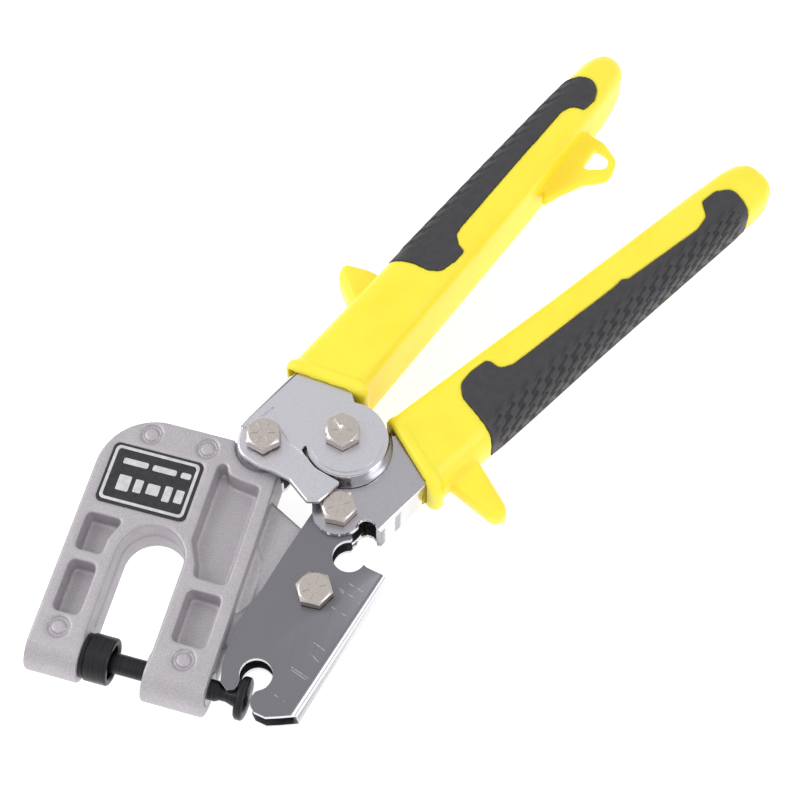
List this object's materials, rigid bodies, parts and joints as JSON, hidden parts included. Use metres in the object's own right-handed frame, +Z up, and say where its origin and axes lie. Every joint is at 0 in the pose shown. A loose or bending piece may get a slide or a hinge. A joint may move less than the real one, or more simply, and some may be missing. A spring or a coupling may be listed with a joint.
{
  "type": "metal stud crimper",
  "caption": "Two-handed punch crimper: cast U-frame with die cup and sliding punch, driven by pressed-steel toggle handles with soft-pad grips.",
  "frame": {"origin": "centre of the tool's outline in plan, on the plane it rests on when lying flat", "axes": "+X along the punch from the die towards the lever, +Y from the punch towards the grips, +Z up through the tool's thickness, label side up"},
  "size_m": [0.1793, 0.2552, 0.0391],
  "materials": {
    "cast_aluminium": "shot-blasted casting",
    "chromed_sheet": "bright plated pressed steel",
    "black_steel": "black oxide, semi-gloss",
    "plated_fastener": "nickel-plated, satin top",
    "steel_insert": "turned steel",
    "yellow_grip": "smooth moulded plastic",
    "dark_pad": "matt soft plastic with scale texture",
    "label": "printed plate with a silver border"
  },
  "bodies": {
    "frame": {"head_frame": "cast_aluminium", "label_plate": "label", "die_cup": "black_steel", "die_ring": "black_steel", "punch_sleeve": "steel_insert", "bolt_a": "plated_fastener", "nut_a": "plated_fastener", "bush_a": "steel_insert", "spacers_a": "steel_insert", "bolt_d": "plated_fastener", "nut_d": "plated_fastener", "bush_d": "steel_insert"},
    "upper_handle": {"upper_channel": "chromed_sheet", "upper_grip": "yellow_grip", "upper_pad": "dark_pad", "bolt_b": "plated_fastener", "nut_b": "plated_fastener", "bush_b": "steel_insert", "spacers_b": "steel_insert"},
    "lower_handle": {"lower_channel": "chromed_sheet", "lower_grip": "yellow_grip", "lower_pad": "dark_pad", "bolt_c": "plated_fastener", "nut_c": "plated_fastener", "bush_c": "steel_insert"},
    "lever": {"lever_channel": "chromed_sheet"},
    "punch": {"punch": "black_steel"}
  },
  "joints": [
    {"name": "upper_handle_pivot", "type": "hinge", "parent": "frame", "child": "upper_handle", "pos_m": [-0.04164, -0.04274, 0.0213], "axis": [0, 0, -1], "range_deg": [0, 1.6]},
    {"name": "handle_opening", "type": "hinge", "parent": "upper_handle", "child": "lower_handle", "pos_m": [-0.01883, -0.03532, 0.0213], "axis": [0, 0, -1], "range_deg": [0, 20]},
    {"name": "lever_pivot", "type": "hinge", "parent": "frame", "child": "lever", "pos_m": [-0.0134, -0.0834, 0.0213], "axis": [0, 0, 1], "range_deg": [0, 17.6]},
    {"name": "punch_slide", "type": "slide", "parent": "frame", "child": "punch", "axis": [1, 0, 0], "range_m": [0, 0.0109]}
  ],
  "couplings": [
    {"joint": "upper_handle_pivot", "follows": "handle_opening", "ratio": 0.0717},
    {"joint": "lever_pivot", "follows": "handle_opening", "ratio": 0.8657},
    {"joint": "punch_slide", "follows": "handle_opening", "m_per_rad": 0.0305}
  ]
}
